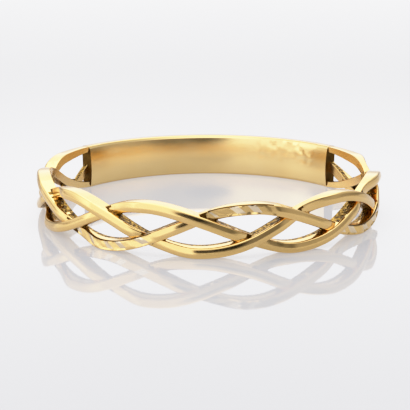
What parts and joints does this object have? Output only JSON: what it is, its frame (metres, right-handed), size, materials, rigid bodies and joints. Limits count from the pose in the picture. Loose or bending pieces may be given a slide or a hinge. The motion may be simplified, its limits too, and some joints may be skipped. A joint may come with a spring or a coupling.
{
  "type": "braided band ring",
  "caption": "Slim finger ring cast in one piece, with an openwork plait of three flat strands and a plain flat back.",
  "frame": {"origin": "on the finger hole's axis, in the plane of the rim that the ring lies on", "axes": "+Z along the finger, up as the ring lies on its side; -Y towards the middle of the plait, +Y towards the plain back"},
  "size_m": [0.0188, 0.0188, 0.0026],
  "materials": {
    "yellow_gold": "polished yellow gold alloy, 9 carat look"
  },
  "bodies": {
    "root": {"braided_band": "yellow_gold"}
  },
  "joints": []
}
